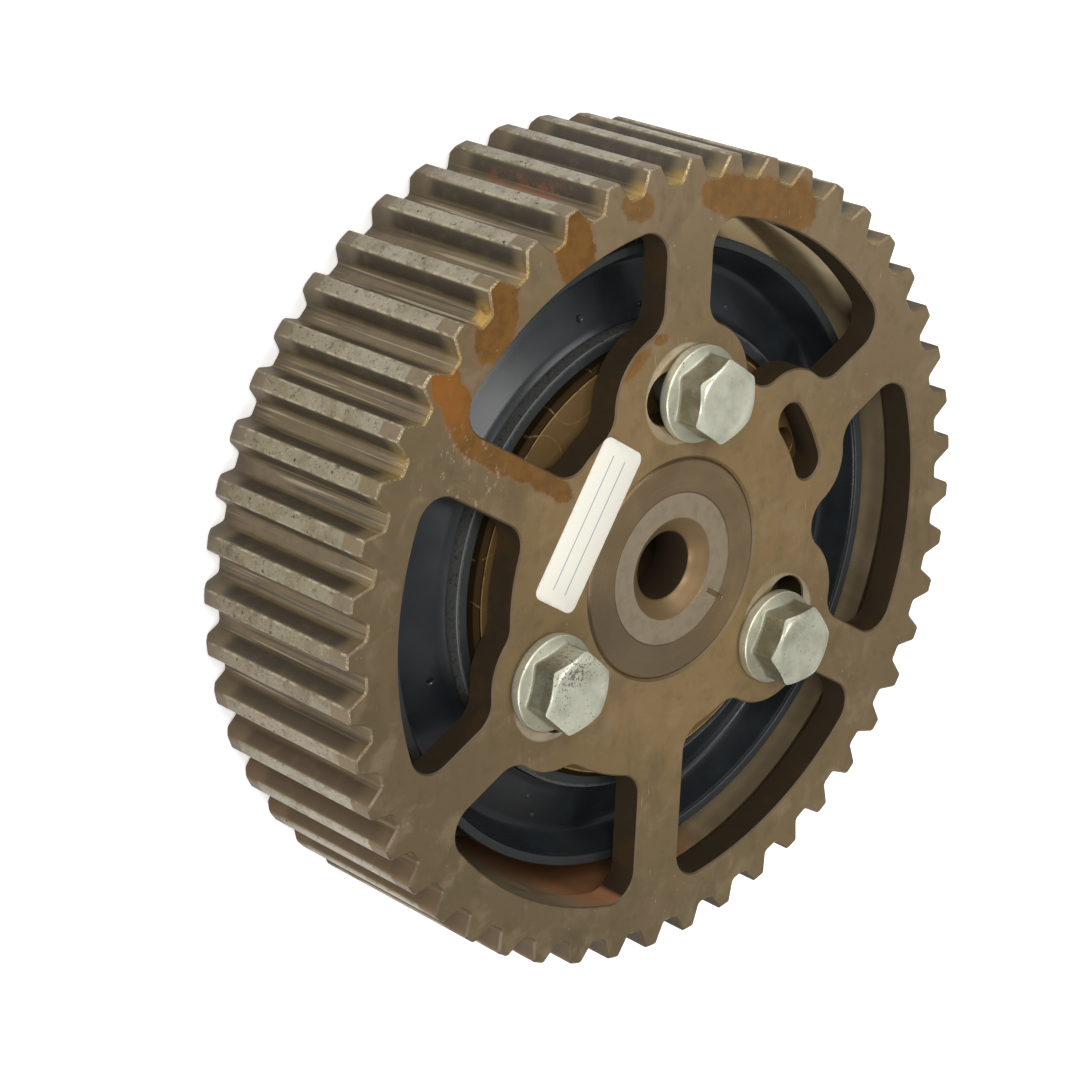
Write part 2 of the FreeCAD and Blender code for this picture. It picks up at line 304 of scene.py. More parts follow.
def underWeb(x, y):
    # height of the web's back, with the hollow corner that runs into the drum
    past = hypot(x, y) - (drumRadius - sprocket["corner"])
    if past <= 0:
        return webBack
    past = min(past, sprocket["corner"])
    return webBack - sprocket["corner"] + sqrt(max(sprocket["corner"] ** 2 - past ** 2, 0))


def makeSprocket():
    s = sprocket
    shell = Shell("sprocket_wheel", surface)
    edge, rearEdge = s["toothEdge"], s["rearEdge"]
    teeth = toothLoop()
    cut = tipRadius - s["rearTip"]
    inner, rearInner = moved(teeth, -edge), moved(teeth, -rearEdge)

    def rearRise(x, y):
        return max(0, hypot(x, y) - cut)

    def pulled(x, y):
        radius = hypot(x, y)
        share = min(radius, cut) / radius
        return (x * share, y * share)

    rows = [level(inner, front), level(teeth, front - edge)]
    rows += [[(x, y, rearRise(x, y) + (front - edge - rearRise(x, y)) * share) for x, y in teeth]
             for share in s["flankRows"]]
    rows += [[(x, y, rearRise(x, y) + rearEdge) for x, y in teeth],
             [(x, y, rearRise(x, y)) for x, y in rearInner],
             [(*pulled(x, y), 0) for x, y in rearInner]]
    shell.rows(rows, ["toothEdge"] + ["tooth"] * 4 + ["rearTip"] * 2)

    holes = []
    cuts = [(loop, s["windowEdge"]) for loop in windowLoops()]
    cuts += [(curvedSlot(s["slotRadius"], at, s["slotHalfAngle"], s["slotHalfWidth"]), s["slotEdge"])
             for at in s["slotAngles"]]
    cuts.append((curvedSlot(s["lockRadius"], s["lockAngle"], s["lockHalfAngle"], s["lockHalfWidth"]), s["lockEdge"]))
    for loop, bevel in cuts:
        wide = moved(loop, bevel)
        holes.append(wide)
        shell.rows([level(wide, front), level(loop, front - bevel), [(x, y, underWeb(x, y) + bevel) for x, y in loop],
                    [(x, y, underWeb(x, y)) for x, y in wide]], ["windowEdge", "wall", "windowEdge"])
    bore = circle(s["openingRadius"], s["boreCount"])
    wide = moved(bore, s["openingEdge"])
    shell.rows([level(wide, front), level(bore, front - s["openingEdge"]), level(bore, webBack)], ["opening"] * 2)
    shell.sheet(inner, holes + [wide], [], lambda x, y: front, "front")

    windows = [moved(hole, s["clearOfWindows"]) for hole in holes[:6]]
    loose = [point for radius in s["cornerRows"] for point in circle(radius, s["drumCount"])
             if not any(inLoop(point, window) for window in windows)]
    wall = circle(drumRadius, s["drumCount"])
    shell.sheet(wall, holes + [bore], loose, underWeb, "webBack", faceUp=False)
    mouth = circle(drumRadius + s["mouth"], s["drumCount"])
    shell.rows([level(wall, webBack - s["corner"]), level(wall, s["drumRow"]), level(wall, s["mouth"]),
                level(mouth, 0)], ["drum", "drum", "rear"])
    rearLoop = []
    for x, y in (pulled(*point) for point in rearInner):
        if not rearLoop or hypot(x - rearLoop[-1][0], y - rearLoop[-1][1]) > s["leastStep"]:
            rearLoop.append((x, y))
    shell.sheet(rearLoop, [mouth], [], lambda x, y: 0.0, "rear", faceUp=False)
    return shell.finished("sprocket", "toothed_sprocket")


# Flange bolts

bolt = {
    "circle": 31.5, "offset": -4.8, "seat": 38.65, "flange": 8.45, "flangeEdge": 2.0, "slope": 22.0,
    "flats": 13.0, "head": 8.05, "chamfer": 28.0, "crown": 6.05, "shank": 4.0, "tip": 18.55,
    "pitch": 1.25, "threadDepth": 0.6, "threadTop": 31.0, "plainEnd": 32.0, "tipDrop": 0.85, "edge": 0.32,
    "count": 144, "shankCount": 48, "rowsPerPitch": 8,
    "names": ("bolt_upper", "bolt_left", "bolt_right"), "turns": (26.0, 18.0, 6.0),
    "wear": (0.35, 1.0, 0.55), "dulled": (0.0, 0.05, 0.45),
}
boltSurface = {"top": 0, "crown": 1, "side": 2, "flange": 3, "rim": 4, "thread": 5}


def hexRadius(angle, sharpness=34):
    # a hexagon's radius, with slightly rounded corners
    total = 0
    for side in range(6):
        lean = cos(angle - side * pi / 3 - pi / 6)
        if lean > 0:
            total += lean ** sharpness
    return bolt["flats"] / 2 / total ** (1 / sharpness)


def makeBolt(name, slotAngle, turn):
    shell = Shell(name.replace("bolt_", "flange_bolt_"), boltSurface)
    cx, cy = polar(bolt["circle"], slotAngle + bolt["offset"])
    seat, count = bolt["seat"], bolt["count"]
    angles = [2 * pi * i / count for i in range(count)]
    reach = [hexRadius(a - radians(turn)) for a in angles]
    top = seat + bolt["head"]
    slope, fall = tan(radians(bolt["slope"])), tan(radians(bolt["chamfer"]))
    conePeak = seat + bolt["flangeEdge"] + bolt["flange"] * slope

    def row(radii, heights):
        return [(cx + r * cos(a), cy + r * sin(a), h) for a, r, h in zip(angles, radii, heights)]

    def ring(radius, height):
        return row([radius] * count, [height] * count)

    def beside(heights, out, up):
        # the hexagon's outline, moved outwards and upwards from those heights
        return row([r + out for r in reach], [h + up for h in heights])

    crown, edge, flange = bolt["crown"], bolt["edge"], bolt["flange"]
    crownEdge = [top - (r - crown) * fall for r in reach]
    foot = [conePeak - r * slope for r in reach]
    # from the dished middle of the head over its crown, sides and flange to the seat
    rows = [ring(0.05, top - 0.12), ring(2.2, top - 0.12), ring(crown - 1.35, top - 0.1),
            ring(crown - 0.95, top - 0.03), ring(crown - 0.5, top), ring(crown, top),
            row([crown + (r - crown) * 0.5 for r in reach], [top - (r - crown) * 0.5 * fall * 0.8 for r in reach]),
            beside(crownEdge, -0.08, 0.01), beside(crownEdge, 0, -0.16),
            beside(foot, 0, 0.5), beside(foot, 0.12, 0.12), beside(foot, 0.45, -0.45 * slope),
            ring(flange - edge, conePeak - (flange - edge) * slope),
            ring(flange - edge * 0.3, conePeak - flange * slope - edge * 0.1),
            ring(flange, conePeak - flange * slope - edge * 0.6),
            ring(flange, seat + edge), ring(flange - edge * 0.3, seat + edge * 0.3), ring(flange - edge, seat)]
    made = shell.rows(rows, ["top"] * 5 + ["crown"] * 3 + ["side"] + ["flange"] * 4 + ["rim"] * 4)
    shell.face(made[0], "top")
    # underside and thread: one turned row after another, its radius winding round the shank
    pitch, shank, tip = bolt["pitch"], bolt["shank"], bolt["tip"]
    around = [2 * pi * i / bolt["shankCount"] for i in range(bolt["shankCount"])]

    def threadRow(height):
        places = []
        for a in around:
            wave = abs(((height / pitch + a / (2 * pi)) % 1) * 2 - 1)
            lead = min(max(height - tip, 0), 1)  # the thread fades in over its last and first millimetre
            out = min(max(bolt["threadTop"] - height, 0), 1)
            groove = bolt["threadDepth"] * min(max(wave * 1.3 - 0.15, 0), 1) * out
            radius = shank - max(groove, (1 - lead) * bolt["tipDrop"])
            places.append((cx + radius * cos(a), cy + radius * sin(a), height))
        return places

    heights, height = [seat - 0.01, bolt["plainEnd"]], bolt["threadTop"]
    while height > tip:
        heights.append(height)
        height -= pitch / bolt["rowsPerPitch"]
    heights.append(tip)
    under = shell.rows([threadRow(h) for h in heights], ["thread"] * (len(heights) - 1))
    shell.face(under[-1][::-1], "thread")
    skirt, neck = (circle(r, bolt["shankCount"], (cx, cy)) for r in (flange - edge, shank))
    shell.rows([level(skirt, seat), level(neck, seat - 0.01)], ["rim"])
    return shell.finished("hub_assembly", name, angle=24)


# Damper

seated = {"open": 0, "seat": 1}  # surfaces of the pieces that lie on others
damper = {
    # the rubber's section, radius and height: bond to the sleeve, sloping front, rolled lip, bond to the ring
    "profile": ((42.25, 20.56), (42.25, 27.9), (42.45, 28.15), (42.75, 28.0), (43.2, 27.55), (44.2, 27.2),
                (46.5, 26.5), (48.6, 25.75), (50.4, 25.15), (51.3, 24.95), (51.9, 25.0), (52.3, 25.3),
                (52.9, 26.2), (53.7, 27.6), (54.3, 28.8), (54.62, 29.7), (54.75, 30.15), (54.86, 30.28),
                (54.9, 30.05), (54.9, 22.1), (46.35, 22.1), (46.35, 20.56)),
    "count": 240, "bossCount": 20,
    "bosses": ((0.3, 44.3), (21.8, 40.2), (-20.3, -41.2), (-18.2, -45.8)),
    "dimples": ((-13.6, 43.9), (-44.1, -13.7)), "bossRadius": 0.6, "bossHeight": 0.12,
}


def rubberHeight(radius):
    path = damper["profile"][3:15]
    for (ra, za), (rb, zb) in zip(path, path[1:]):
        if ra <= radius <= rb:
            return za + (zb - za) * (radius - ra) / (rb - ra)
    return path[0][1]


def makeRubber():
    shell = Shell("damper_rubber_bond", seated)
    rows = [level(circle(r, damper["count"]), z) for r, z in damper["profile"]]
    made = shell.rows(rows, ["open"] * (len(rows) - 1))
    shell.strip(made[-1], made[0], "seat")
    size, height = damper["bossRadius"], damper["bossHeight"]
    dome = ((size * 1.1, -0.25), (size * 0.96, height * 0.4), (size * 0.8, height * 0.85),
            (size * 0.5, height), (0.02, height))
    for centre in damper["bosses"]:
        low = rubberHeight(hypot(*centre))
        dot = shell.rows([level(circle(r, damper["bossCount"], centre), low + h) for r, h in dome], ["open"] * 4)
        shell.face(dot[-1], "open")
    return shell.finished("hub_assembly", "damper_rubber", weld=0.001, angle=45)


# Label

label = {"length": 29.4, "width": 10.3, "thick": 0.13, "corner": 1.6, "radius": 24.1, "angle": 149.2,
         "clear": 0.005, "edge": 0.06, "edgeDrop": 0.03, "cornerSteps": 8}


def makeLabel():
    shell = Shell("blank_label", seated)
    halfLength, halfWidth, corner = label["length"] / 2, label["width"] / 2, label["corner"]
    loop = []
    for sideX, sideY, first in ((1, 1, 0), (-1, 1, 90), (-1, -1, 180), (1, -1, 270)):
        for i in range(label["cornerSteps"] + 1):
            dx, dy = polar(corner, first + 90 * i / label["cornerSteps"])
            loop.append((sideX * (halfWidth - corner) + dx, sideY * (halfLength - corner) + dy))
    px, py = polar(label["radius"], label["angle"])
    turn = radians(label["angle"])

    def placed(x, y):
        return (px + x * cos(turn) - y * sin(turn), py + x * sin(turn) + y * cos(turn))

    outer = [placed(x, y) for x, y in loop]
    inner = [placed(x, y) for x, y in moved(loop, -label["edge"])]
    low, high = front + label["clear"], front + label["thick"]
    shell.rows([level(inner, high), level(outer, high - label["edgeDrop"]), level(outer, low)], ["open"] * 2)
    shell.sheet(inner, [], [], lambda x, y: high, "open")
    shell.sheet(outer, [], [], lambda x, y: low, "seat", faceUp=False)
    return shell.finished("sprocket", "label", angle=50)


# Materials: one class wraps a socket so that masks read as sums

class Wire:
    def __init__(self, finish, socket):
        self.finish, self.socket = finish, socket

    def maths(self, operation, *others, first=True, clamp=False):
        values = [self, *others] if first else [*others, self]
        return self.finish.node("Math", dict(enumerate(values)), operation=operation, use_clamp=clamp)

    def __add__(self, other): return self.maths("ADD", other)
    def __radd__(self, other): return self.maths("ADD", other)
    def __sub__(self, other): return self.maths("SUBTRACT", other)
    def __rsub__(self, other): return self.maths("SUBTRACT", other, first=False)
    def __mul__(self, other): return self.maths("MULTIPLY", other)
    def __rmul__(self, other): return self.maths("MULTIPLY", other)
    def __pow__(self, other): return self.maths("POWER", other)
    def __abs__(self): return self.maths("ABSOLUTE")

    def clamped(self): return self.maths("ADD", 0, clamp=True)
    def most(self, other): return self.maths("MAXIMUM", other)
    def near(self, value, within=0.4): return self.maths("COMPARE", value, within)

    def ease(self, low, high):
        # 0 below low, 1 above high, smooth between; low may be the larger
        first, last = (1.0, 0.0) if low > high else (0.0, 1.0)
        return self.finish.node("MapRange", {0: self, 1: min(low, high), 2: max(low, high), 3: first, 4: last},
                                interpolation_type="SMOOTHSTEP")

    def between(self, low, high, soft):
        return self.ease(low - soft, low + soft) * self.ease(high + soft, high - soft)


class Finish:
    # a material under way; its colours are given by name, in sRGB
    def __init__(self, name, colours):
        self.colours = colours
        self.material = bpy.data.materials.new(name)
        self.material.use_nodes = True
        self.tree = self.material.node_tree
        self.tree.nodes.clear()
        self.shader = self.tree.nodes.new("ShaderNodeBsdfPrincipled")
        output = self.tree.nodes.new("ShaderNodeOutputMaterial")
        self.tree.links.new(self.shader.outputs[0], output.inputs[0])
        place = self.tree.nodes.new("ShaderNodeTexCoord")
        metres = Wire(self, place.outputs["Object"])
        self.place = self.node("VectorMath", {0: metres, "Scale": 1 / mm}, operation="SCALE")
        self.x, self.y, self.z = (self.node("SeparateXYZ", {0: self.place}, axis) for axis in "XYZ")
        self.radius = (self.x * self.x + self.y * self.y) ** 0.5
        self.angle = self.y.maths("ARCTAN2", self.x)
        self.kind = self.node("Attribute", {}, "Fac", attribute_name="kind")

    def node(self, kind, values, out=0, **settings):
        made = self.tree.nodes.new("ShaderNode" + kind)
        for name, value in settings.items():
            setattr(made, name, value)
        for name, value in values.items():
            if isinstance(value, Wire):
                self.tree.links.new(value.socket, made.inputs[name])
            else:
                made.inputs[name].default_value = value
        return Wire(self, made.outputs[out])

    def kinds(self, numbers, *names):
        # one mask for each named kind of surface
        return [self.kind.near(numbers[name]) for name in names]

    def noise(self, scale, detail=3.0, rough=0.55, twist=0.0, at=None):
        # scale is in cells a millimetre; about 0 to 1
        return self.node("TexNoise", {"Vector": at or self.place, "Scale": scale, "Detail": detail, "Roughness": rough,
                                      "Distortion": twist})

    def cells(self, scale):
        return self.node("TexVoronoi", {"Vector": self.place, "Scale": scale}, "Distance")

    def stretched(self, x, y, z):
        return self.node("VectorMath", {0: self.place, 1: (x, y, z)}, operation="MULTIPLY")

    def wound(self, perTurn, perRadius, perHeight):
        # angle, radius and height as a vector, for marks that follow a turned surface
        return self.node("CombineXYZ", {0: self.angle * perTurn, 1: self.radius * perRadius, 2: self.z * perHeight})

    def put(self, value, socket):
        if isinstance(value, str):
            value = srgb(*self.colours[value])
        if isinstance(value, Wire):
            self.tree.links.new(value.socket, socket)
        else:
            socket.default_value = value if isinstance(value, (int, float)) else (*value, 1)

    def colour(self, low, high, share):
        made = self.tree.nodes.new("ShaderNodeMix")
        made.data_type = "RGBA"
        for index, value in ((0, share), (6, low), (7, high)):
            self.put(value, made.inputs[index])
        return Wire(self, made.outputs[2])

    def layered(self, base, *layers):
        # lays one colour after another over the base, each by its share
        for colour, share in layers:
            base = self.colour(base, colour, share)
        return base

    def blob(self, x, y, long, wide, turn):
        # 1 in the middle of an oval on the front face, 0 at its rim, below 0 outside
        held = self.node("Mapping", {"Vector": self.place, "Location": (x, y, front), "Rotation": (0, 0, radians(turn)),
                                     "Scale": (long, wide, 400.0)}, vector_type="TEXTURE")
        return 1 - self.node("VectorMath", {0: held}, "Value", operation="LENGTH")

    def blobs(self, spots):
        return highest(self.blob(*spot) for spot in spots)

    def use(self, **sockets):
        names = {"baseColour": "Base Color", "roughness": "Roughness", "metallic": "Metallic", "normal": "Normal",
                 "specular": "Specular IOR Level", "emission": "Emission Color", "glow": "Emission Strength"}
        for name, value in sockets.items():
            self.put(value, self.shader.inputs[names[name]])
        return self.material

    def bump(self, height, strength):
        # height in millimetres
        return self.node("Bump", {"Height": height, "Strength": strength, "Distance": mm}, "Normal")


def highest(masks):
    made = None
    for mask in masks:
        made = mask if made is None else made.most(mask)
    return made


def srgb(red, green, blue):
    def linear(c):
        c /= 255
        return c / 12.92 if c <= 0.04045 else ((c + 0.055) / 1.055) ** 2.4
    return (linear(red), linear(green), linear(blue))


# Sintered steel: warm brown oil film, rust patches, a belt track on the tips and bright tooth edges

sinter = {
    "body": (109, 92, 64), "olive": (102, 88, 58), "pink": (118, 97, 72), "dark": (66, 54, 38),
    "warm": (140, 113, 70), "rust": (118, 81, 30), "rustDeep": (98, 66, 25), "rustRim": (122, 86, 60),
    "rustHot": (150, 92, 32), "pinkRust": (134, 84, 62), "gold": (176, 142, 66),
    "bright": (178, 168, 142), "track": (126, 120, 100), "trackPale": (156, 148, 132),
    "pit": (38, 33, 26), "strip": (50, 43, 31), "valley": (100, 86, 62), "wall": (60, 49, 34),
    "imprint": (194, 182, 156), "pale": (134, 116, 90), "grimeAndShade": (44, 37, 26),
    "lowBrown": (92, 68, 38), "drum": (186, 166, 130), "drumLitPale": (246, 224, 180),
    "drumRust": (142, 76, 24),
    # rust and flaking on the front face as ovals: x, y, half length, half width, turn
    "rustSpots": ((-26.4, 59.6, 6.6, 4.4, 98), (-27.0, 64.5, 3.6, 2.4, 100), (-43.0, 50.2, 6.6, 4.6, 65),
                  (-42.0, 55.6, 4.6, 3.4, 50), (-53.2, 42.2, 4.2, 3.3, 122), (-50.6, 38.2, 5.4, 3.3, 118),
                  (-48.6, 33.8, 4.8, 3.2, 120)),
    "streakSpots": ((-46.4, 31.4, 4.8, 2.7, 135), (-42.0, 28.0, 5.0, 2.3, 145), (-37.0, 25.6, 5.0, 2.1, 145),
                    (-32.0, 22.6, 4.6, 2.1, 143), (-27.6, 19.8, 3.6, 1.9, 142)),
    "faintSpots": ((15.0, 62.8, 14.5, 4.6, 166), (23.5, 61.0, 7.5, 5.2, 160), (6.2, 65.2, 5.2, 3.6, 170),
                   (-13.0, 65.4, 4.4, 2.7, 166), (-6.0, 41.9, 2.0, 1.1, 0), (-11.8, 38.4, 4.2, 1.6, 35)),
    "hotSpot": (-53.0, 40.5, 10.0, 5.5, 120), "flakeSpot": (-47.5, 27.0, 12.0, 7.0, 135),
    # flange imprint's radius, the track's distance from a tooth's ends, and the directions of a valley
    # with red rust and of one with a golden crust, each with half the angle it fills
    "imprintRadius": 8.9, "trackEnd": 4.6, "blush": (108.3, 1.7), "caked": (131.0, 1.5),
}


def sinterFinish():
    s = sinter
    f = Finish("sintered steel", sinter)
    isFront, isEdge, isTooth, isRear, isWindowEdge, isWall, isWebBack, isDrum, isOpening = f.kinds(
        surface, "front", "toothEdge", "tooth", "rearTip", "windowEdge", "wall", "webBack", "drum", "opening")
    broad, mottle = f.noise(0.045, 3, 0.55), f.noise(0.35, 4, 0.6)
    grain, fine = f.noise(2.4, 3, 0.65), f.noise(7.0, 2, 0.6)
    # painted shade: lowLeft darkens the face, its warm tone and the worn tracks towards the lower left
    lowLeft = (f.x * -0.75 - f.y * 0.66).ease(15.0, 75.0)
    # painted shade on the ends of the lowest teeth; lowEnds also makes their worn tracks paler, as painted light
    lowEnds = (f.x * -0.3 - f.y * 0.95).ease(22.0, 56.0)
    shade = (f.x * 0.85 - f.y * 0.5).ease(0.0, 56.0)  # painted shade on the teeth of the lower right
    body = f.layered(
        "body",
        ("olive", broad.ease(0.36, 0.68) * 0.8),
        ("pink", f.noise(0.05, 3, 0.55, 0.2).ease(0.44, 0.74) * 0.6),
        ("warm", f.radius.ease(56.0, 30.0) * 0.42 * (1 - lowLeft * 0.6)),
        # painted shade towards the lower left
        ("dark", (f.x * -0.9 - f.y * 0.45).ease(0.0, 70.0).most(lowLeft) * 0.4),
        ("pale", (f.y * 0.9 + f.x * 0.35).ease(25.0, 72.0) * 0.5),
        ("dark", mottle.ease(0.5, 0.75) * 0.24),
        ("pale", f.noise(0.14, 4, 0.62, 0.4).ease(0.5, 0.68) * 0.4),
        ("dark", f.noise(0.1, 4, 0.62, 0.4, f.stretched(1.3, 0.7, 1.0)).ease(0.52, 0.7) * 0.26),
        ("dark", fine.ease(0.58, 0.8) * 0.28))

    # rust, on the front face only
    uneven = (f.noise(0.5, 4, 0.65) - 0.5) * 0.9 + (f.noise(2.2, 3, 0.6) - 0.5) * 0.35
    strong, streaks, faint = (f.blobs(s[name]) for name in ("rustSpots", "streakSpots", "faintSpots"))
    onFace = (isFront + isEdge * 0.4).clamped()
    rustMask = (strong + uneven * 0.6).ease(0.0, 0.14) * onFace
    streakMask = (streaks + uneven * 0.8).ease(0.0, 0.2) * onFace
    rimMask = (strong.most(streaks) + uneven * 0.6).ease(-0.26, 0.04) * onFace
    faintMask = (faint + uneven * 0.6).ease(-0.02, 0.2) * onFace
    rustColour = f.layered(
        "rust",
        ("rustDeep", f.noise(0.4, 4, 0.6).ease(0.36, 0.66) * 0.8),
        ("rustHot", f.blob(*s["hotSpot"]).ease(0.0, 0.7) * 0.6))
    body = f.colour(body, "rustRim", rimMask * 0.45)
    body = f.colour(body, rustColour, faintMask * 0.84)
    body = f.colour(body, rustColour, (rustMask * 0.94).most(streakMask * 0.86))

    # cream rings where the bolts' flanges once sat, in the middle of each slot
    size, patchy = s["imprintRadius"], f.noise(0.12, 2).ease(0.38, 0.56) * 0.45 + 0.55
    imprint = highest((1 - f.blob(*polar(sprocket["slotRadius"], at), size, size, 0)).between(0.82, 0.99, 0.03) * patchy
                      for at in sprocket["slotAngles"])
    imprint = imprint * isFront * (mottle.ease(0.3, 0.6) * 0.35 + 0.65)

    # light scuffs, scratches, specks and flaking on the face
    scuff = f.noise(3.2, 4, 0.7, at=f.stretched(1.0, 0.35, 1.0)).ease(0.66, 0.76) * f.noise(0.13, 2).ease(0.52, 0.66)
    lines = f.noise(1.0, 2, 0.5, at=f.stretched(6.0, 0.25, 1.0)).ease(0.7, 0.74) * f.noise(0.2, 2, 0.5).ease(0.55, 0.65)
    specks = f.cells(0.4).ease(0.09, 0.03) * f.noise(0.08, 2).ease(0.48, 0.6)
    flakes = f.noise(0.9, 4, 0.75, at=f.stretched(1.0, 0.6, 1.0)).ease(0.56, 0.66)
    flakes = flakes * f.blob(*s["flakeSpot"]).ease(0.0, 0.4)
    marks = (scuff * 0.45 + lines * 0.5 + flakes * 0.3 + specks * 0.35) * isFront
    body = f.layered(body, ("imprint", imprint * 0.8), ("imprint", marks.clamped()))

    # teeth: pale worn track on the tips, dark strips on the flanks, brown floor, gold rust at the valley ends
    def inValley(middle, half):
        return (f.angle - radians(middle)).between(radians(-half), radians(half), radians(0.4))

    valleys = f.angle * (sprocket["teeth"] / (2 * pi)) + 100.0  # one more from each tooth to the next
    phase = valleys.maths("FRACT")  # 0.5 in a valley's middle
    track = f.z.between(s["trackEnd"], front - s["trackEnd"], 0.18)
    track = track * f.radius.ease(tipRadius - 0.5, tipRadius - 0.1) * isTooth
    worn = track * (f.z.ease(2.0, 16.0) * 0.5 + 0.5) * (f.noise(0.16, 3, 0.6).ease(0.34, 0.56) * 0.55 + 0.45)
    # painted light: the worn tracks paler towards the top
    highLand = (f.y * 0.9 - f.x * 0.2).ease(34.0, 70.0)
    pits = f.cells(1.6).ease(0.24, 0.12) * f.noise(0.45, 2).ease(0.44, 0.56)
    patches = f.noise(0.75, 4, 0.75).ease(0.52, 0.66)
    dents = f.cells(0.62).ease(0.24, 0.1) * f.noise(0.3, 2).ease(0.5, 0.58)
    spoilt = (pits * 0.85 + dents * 0.9 + patches * 0.45 + fine.ease(0.54, 0.75) * 0.45) * track
    flank = f.radius.between(rootRadius + 0.85, tipRadius - 0.5, 0.35) * (phase.ease(0.5, 0.4) + phase.ease(0.5, 0.6))
    flank = flank * f.z.between(5.5, front - 3.0, 1.6) * isTooth * (mottle.ease(0.25, 0.5) * 0.3 + 0.6)
    low = f.radius.ease(rootRadius + 1.6, rootRadius + 0.1) * isTooth
    streak = f.noise(1.1, 1, 0.5, at=f.stretched(1.7, 1.7, 0.035)).ease(0.6, 0.68)
    furrow = f.noise(0.9, 1, 0.5, at=f.stretched(1.4, 1.4, 0.03)).ease(0.44, 0.36)
    blush = inValley(*s["blush"]) * f.z.between(11.0, 31.0, 4.0) * isTooth
    # painted highlight: a thin bright line along the edges of the tips' lands
    landLine = f.radius.between(tipRadius - 0.34, tipRadius - 0.06, 0.06) * f.noise(0.5, 3, 0.6).ease(0.42, 0.62)
    towardTop = abs(f.angle - radians(100)).ease(1.4, 0.7)
    endRust = f.z.ease(front - 5.0, front - 0.8) * f.radius.ease(rootRadius + 2.4, rootRadius + 0.6) * isTooth
    someValleys = f.node("TexNoise", {"W": valleys.maths("FLOOR") * 3.7, "Scale": 1.0, "Detail": 1.0},
                         noise_dimensions="1D")
    caked = inValley(*s["caked"]) * f.z.ease(front - 4.4, front - 2.4) * isTooth
    # painted shade, with grime: the front ends of the lowest teeth darkened
    crustAndShade = lowEnds * f.z.ease(front - 9.0, front - 2.5) * f.radius.ease(tipRadius - 0.3, tipRadius - 1.2)
    tooth = f.layered(
        "valley",
        ("dark", mottle.ease(0.4, 0.75) * 0.5),
        ("olive", broad.ease(0.4, 0.6) * 0.5),
        # painted shade dims the tracks at the lower left; painted light makes them paler at the top and on the lowest
        # teeth
        ("track", worn * (0.92 - lowLeft * 0.32)),
        ("trackPale", worn * (highLand * 0.45 + lowEnds * 0.75)),
        ("bright", (f.noise(2.2, 4, 0.75).ease(0.56, 0.68) * track * 0.4).clamped()),
        ("pit", spoilt.clamped()),
        ("strip", flank.clamped()),
        ("bright", streak * low * 0.42),
        ("strip", furrow * low * 0.6),
        ("pinkRust", blush * f.noise(0.35, 4, 0.7).ease(0.42, 0.6) * 0.6),
        # painted highlight along the lands' edges, dimmed on the lowest teeth
        ("bright", landLine * 0.5 * (1 - lowEnds * 0.7) * isTooth),
        ("gold", (endRust * (someValleys.ease(0.42, 0.6) * 0.6 + 0.15)).clamped() * (towardTop * 0.6 + 0.2)),
        ("dark", f.z.ease(5.5, 1.5) * isTooth * 0.55))
    cakedColour = f.colour("gold", "rustHot", mottle.ease(0.4, 0.6))
    tooth = f.colour(tooth, cakedColour, caked * f.noise(0.9, 4, 0.7).ease(0.36, 0.52) * 0.8)
    # painted shade, with grime: the lowest teeth darker and browner, the teeth of the lower right darker
    tooth = f.layered(
        tooth,
        ("grimeAndShade", (crustAndShade * 0.5).most(lowEnds * f.radius.ease(rootRadius + 2.0, rootRadius + 0.6) * 0.25)),
        ("lowBrown", lowEnds * (1 - track) * 0.5),
        ("grimeAndShade", shade * (1 - track * 0.55) * 0.8 * isTooth))

    # bright broken line of wear along the front tooth edges, golden in the valleys; painted shade dims it on the lower
    # right and on the lowest teeth
    broken = f.noise(2.6, 3, 0.7).ease(0.42, 0.62) * (f.noise(0.3, 2).ease(0.35, 0.6) * 0.6 + 0.4) * (1 - shade * 0.8)
    broken = broken * (1 - (f.x * 0.9 - f.y * 0.3).ease(-15.0, 30.0) * 0.6) * (1 - lowEnds * 0.75)
    golden = f.radius.ease(rootRadius + 2.9, rootRadius + 1.2) * (towardTop * 0.6 + 0.35)
    base = f.colour(f.colour(body, tooth, isTooth), f.colour("bright", "gold", golden),
                    isEdge * (broken * 0.7 + 0.03) * (towardTop * 0.45 + 0.5))
    base = f.layered(
        base,
        # painted shade on the tooth edges of the lower right and of the lowest teeth
        ("grimeAndShade", isEdge * shade * 0.5),
        ("dark", isEdge * lowEnds * 0.6),
        ("dark", isRear * 0.6),
        # painted shade on the window edges
        ("dark", isWindowEdge * 0.65))
    behind = isWall + isWebBack
    # painted shade: the window walls and the web's back painted dark brown, with patches of deep rust
    wallColour = f.colour("wall", "rustDeep", f.noise(0.12, 3, 0.6).ease(0.5, 0.68) * 0.3)
    base = f.colour(base, wallColour, behind * 0.92)

    # the drum's tan inside, rusted orange at the bottom, runs on over the outer wall of the lowest window and, near the
    # front, over part of the upper right window's wall. Its bright tan is painted light, palest at the top; its
    # darkening near the web is a painted shadow.
    turn = f.angle + pi / 2
    rusty = turn.between(-0.3, 0.3, 0.12) * 0.8 + f.noise(0.06, 4, 0.6, 0.5).ease(0.58, 0.74) * 0.2
